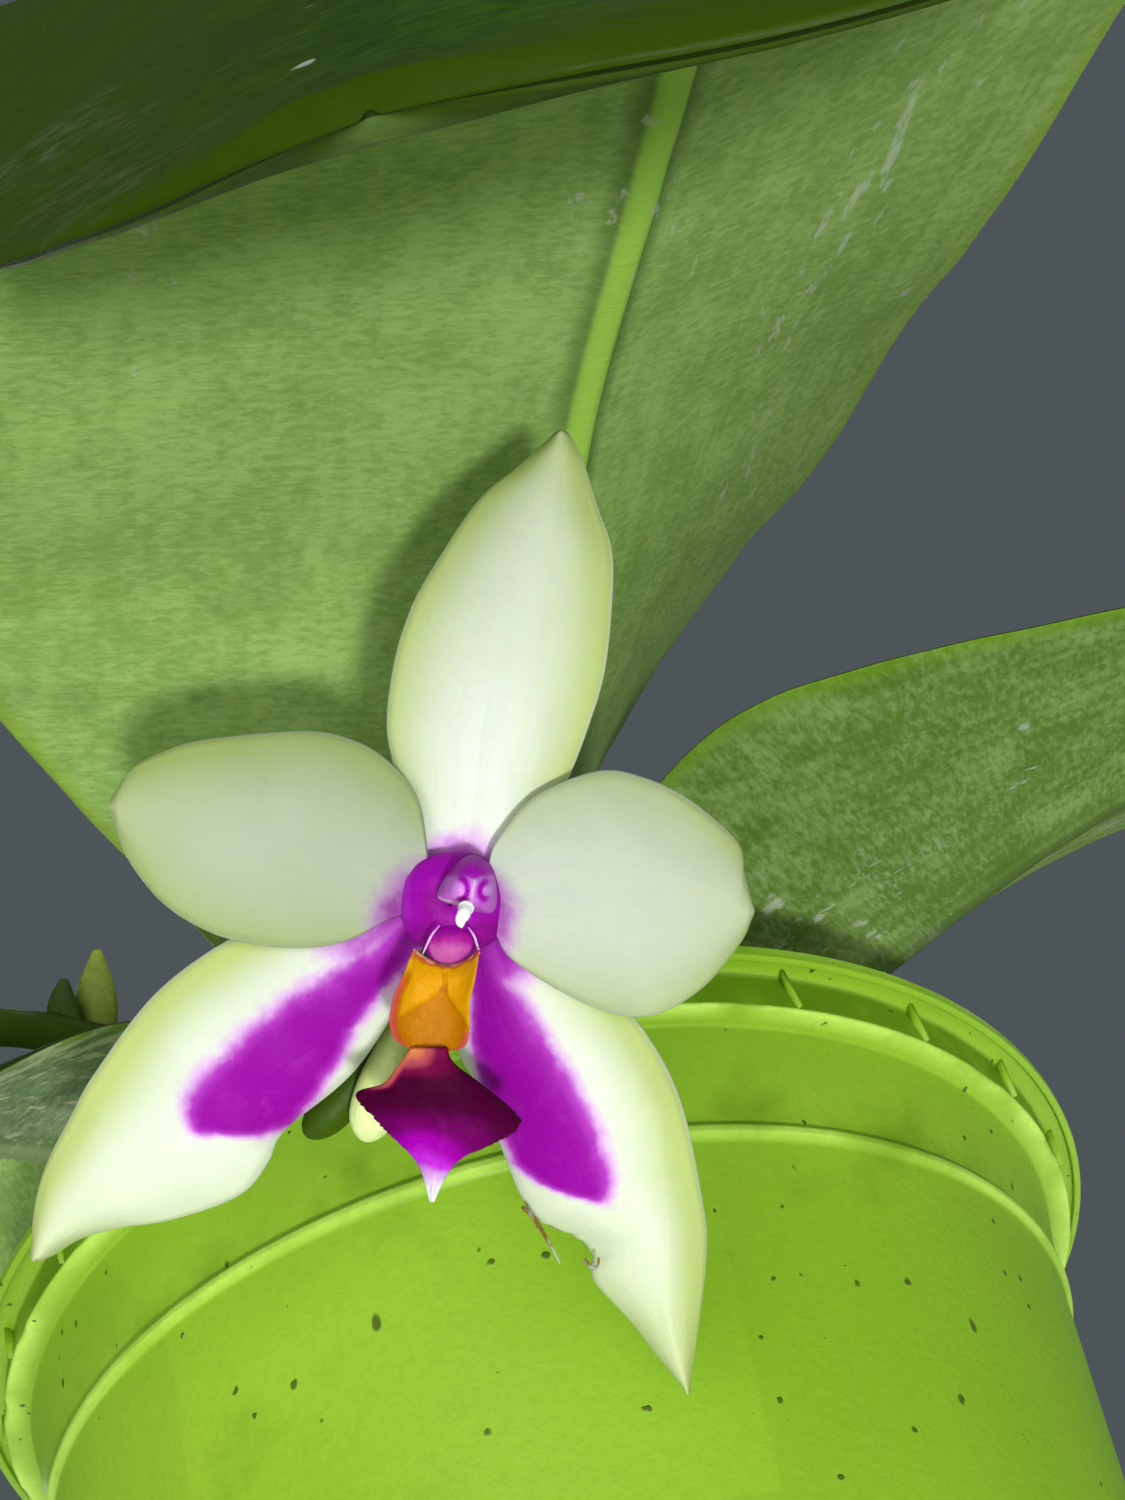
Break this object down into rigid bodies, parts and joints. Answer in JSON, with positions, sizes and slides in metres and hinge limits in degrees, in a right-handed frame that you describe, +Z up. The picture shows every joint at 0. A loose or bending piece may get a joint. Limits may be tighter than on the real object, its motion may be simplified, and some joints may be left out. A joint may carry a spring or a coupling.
{
  "type": "potted orchid",
  "caption": "Potted orchid in bloom: broad arching leaves around a short stem, a star-shaped flower on a low spike, in a round nursery pot of bark.",
  "frame": {"origin": "centre of the pot's base, on the surface it stands on", "axes": "+Z up along the pot's axis; -Y towards the side where the flower hangs over the rim; +X to the right when looking along +Y"},
  "size_m": [0.3004, 0.3215, 0.1886],
  "materials": {
    "pot_plastic": "satin lime-green moulded plastic",
    "bark": "rough brown bark pieces",
    "stem_skin": "dull green stem with paler leaf bases",
    "root_skin": "matte silver-green root skin",
    "leaf": "soft sheen, darker on top, paler velvety grain beneath",
    "leaf_old": "dull grey-green, scratched",
    "spike_skin": "dark green, soft sheen",
    "pedicel_skin": "pale green, soft sheen",
    "bud_skin": "pale green-yellow, soft sheen",
    "tepal": "waxy white with yellow-green edges; purple patches on the lower sepals",
    "column_skin": "waxy purple with paler lobes",
    "cap_skin": "waxy white",
    "callus_skin": "waxy orange-yellow",
    "lobe_skin": "waxy dark purple, paler at the tip"
  },
  "bodies": {
    "root": {"pot": "pot_plastic", "bark": "bark", "stem": "stem_skin", "root_1": "root_skin", "root_2": "root_skin", "root_3": "root_skin", "root_4": "root_skin", "leaf_front": "leaf", "leaf_right": "leaf", "leaf_left_old": "leaf_old", "leaf_back": "leaf", "leaf_back_left": "leaf", "leaf_young": "leaf", "flower_spike": "spike_skin", "pedicel": "pedicel_skin", "flower_bud": "bud_skin", "old_spike": "spike_skin", "sepal_dorsal": "tepal", "sepal_left": "tepal", "sepal_right": "tepal", "petal_left": "tepal", "petal_right": "tepal", "column": "column_skin", "anther_cap": "cap_skin", "lip_callus": "callus_skin", "lip_midlobe": "lobe_skin"}
  },
  "joints": []
}
